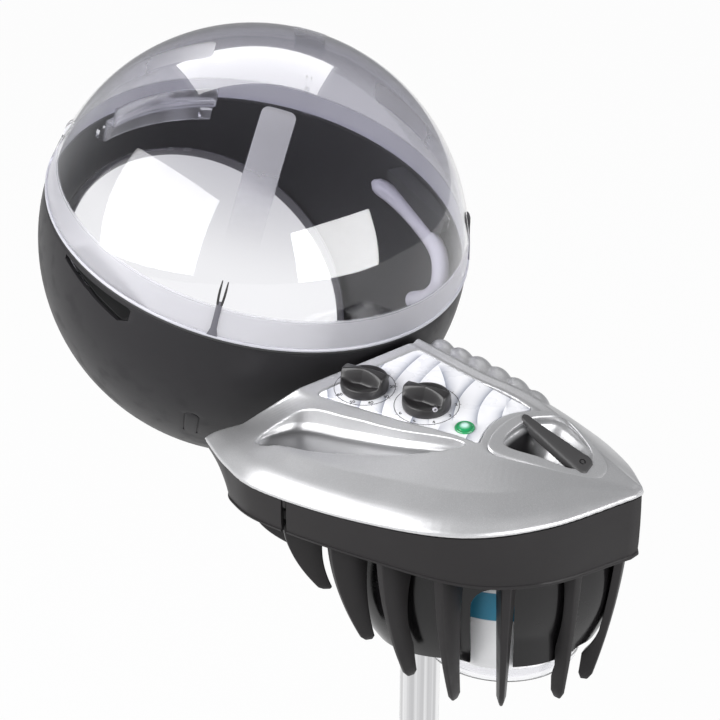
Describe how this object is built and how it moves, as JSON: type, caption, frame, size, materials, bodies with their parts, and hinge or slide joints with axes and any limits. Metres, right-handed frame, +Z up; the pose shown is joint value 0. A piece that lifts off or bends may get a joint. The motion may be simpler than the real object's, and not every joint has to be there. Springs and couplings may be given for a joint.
{
  "type": "salon hair steamer head",
  "caption": "Salon hair steamer head on a mast: round hood with a clear dome, moulded silver body with control knobs, claw guard and clear water jar; it swivels and tilts.",
  "frame": {"origin": "centre of the mast's flat foot, on the swivel axis", "axes": "+Z up the mast, +Y from the body to the hood, +X to the far side of the body, where the ribbed ridge is"},
  "size_m": [0.3898, 0.6302, 0.6299],
  "materials": {
    "satin_silver": "satin silver paint on moulded plastic",
    "panel_plastic": "pale printed panel",
    "dark_casing": "fine matt dark moulding",
    "clear_plastic": "clear, faintly lavender",
    "grey_moulding": "light grey moulding",
    "green_lens": "translucent green lens",
    "chrome": "polished plating",
    "cast_alloy": "as cast",
    "bright_steel": "plain bright",
    "black_rubber": "moulded",
    "board_green": "lacquered board"
  },
  "bodies": {
    "mast": {"mast_tube": "chrome", "mast_end_plug": "black_rubber"},
    "body": {"swivel_bush": "grey_moulding", "yoke_casting": "cast_alloy", "swivel_screw": "dark_casing", "tilt_pin_1": "bright_steel", "tilt_pin_2": "bright_steel", "top_cover": "satin_silver", "control_panel": "panel_plastic", "timer_unit": "grey_moulding", "steam_regulator": "grey_moulding", "pilot_lens": "green_lens", "lamp_socket": "dark_casing", "handle_bezel": "satin_silver", "grip_bar": "dark_casing", "front_band": "dark_casing", "rear_band": "dark_casing", "claw_guard": "dark_casing", "inner_shroud": "dark_casing", "boiler_head": "grey_moulding", "jar_gasket": "black_rubber", "element_plug": "dark_casing", "heater_element": "bright_steel", "level_probe_1": "bright_steel", "level_probe_2": "bright_steel", "steam_duct": "grey_moulding", "control_board": "board_green", "board_spacer_1": "bright_steel", "board_spacer_2": "bright_steel", "board_spacer_3": "bright_steel", "board_spacer_4": "bright_steel"},
    "hood": {"hood_shell": "dark_casing", "hand_cup_left": "dark_casing", "hand_cup_right": "dark_casing", "visor_dome": "clear_plastic", "visor_seal": "black_rubber", "dome_clip_1": "dark_casing", "dome_clip_2": "dark_casing", "dome_clip_3": "dark_casing", "dome_clip_4": "dark_casing", "steam_bar_left": "grey_moulding", "steam_bar_right": "grey_moulding", "drip_gutter": "dark_casing", "front_deflector": "clear_plastic", "deflector_bracket_1": "clear_plastic", "deflector_bracket_2": "clear_plastic", "hood_neck": "dark_casing", "steam_inlet": "grey_moulding"},
    "timer": {"timer_knob": "dark_casing"},
    "steam": {"steam_knob": "dark_casing"},
    "jar": {"boiler_jar": "clear_plastic"}
  },
  "joints": [
    {"name": "mast_swivel", "type": "hinge", "parent": "mast", "child": "body", "pos_m": [0, 0, 0.3], "axis": [0, 0, 1], "range_deg": [-170, 170]},
    {"name": "hood_tilt", "type": "hinge", "parent": "body", "child": "hood", "pos_m": [0, 0.02997, 0.3706], "axis": [1, 0, 0], "range_deg": [-15, 14]},
    {"name": "timer_turn", "type": "hinge", "parent": "body", "child": "timer", "pos_m": [-0.0595, 0.0067, 0.38295], "axis": [-0.1538, -0.1303, 0.9795], "range_deg": [-150, 150]},
    {"name": "steam_turn", "type": "hinge", "parent": "body", "child": "steam", "pos_m": [-0.0388, -0.0454, 0.37927], "axis": [-0.1538, -0.1303, 0.9795], "range_deg": [-150, 150]},
    {"name": "jar_removal", "type": "slide", "parent": "body", "child": "jar", "axis": [0, 0, 1], "range_m": [-0.15, 0]}
  ]
}
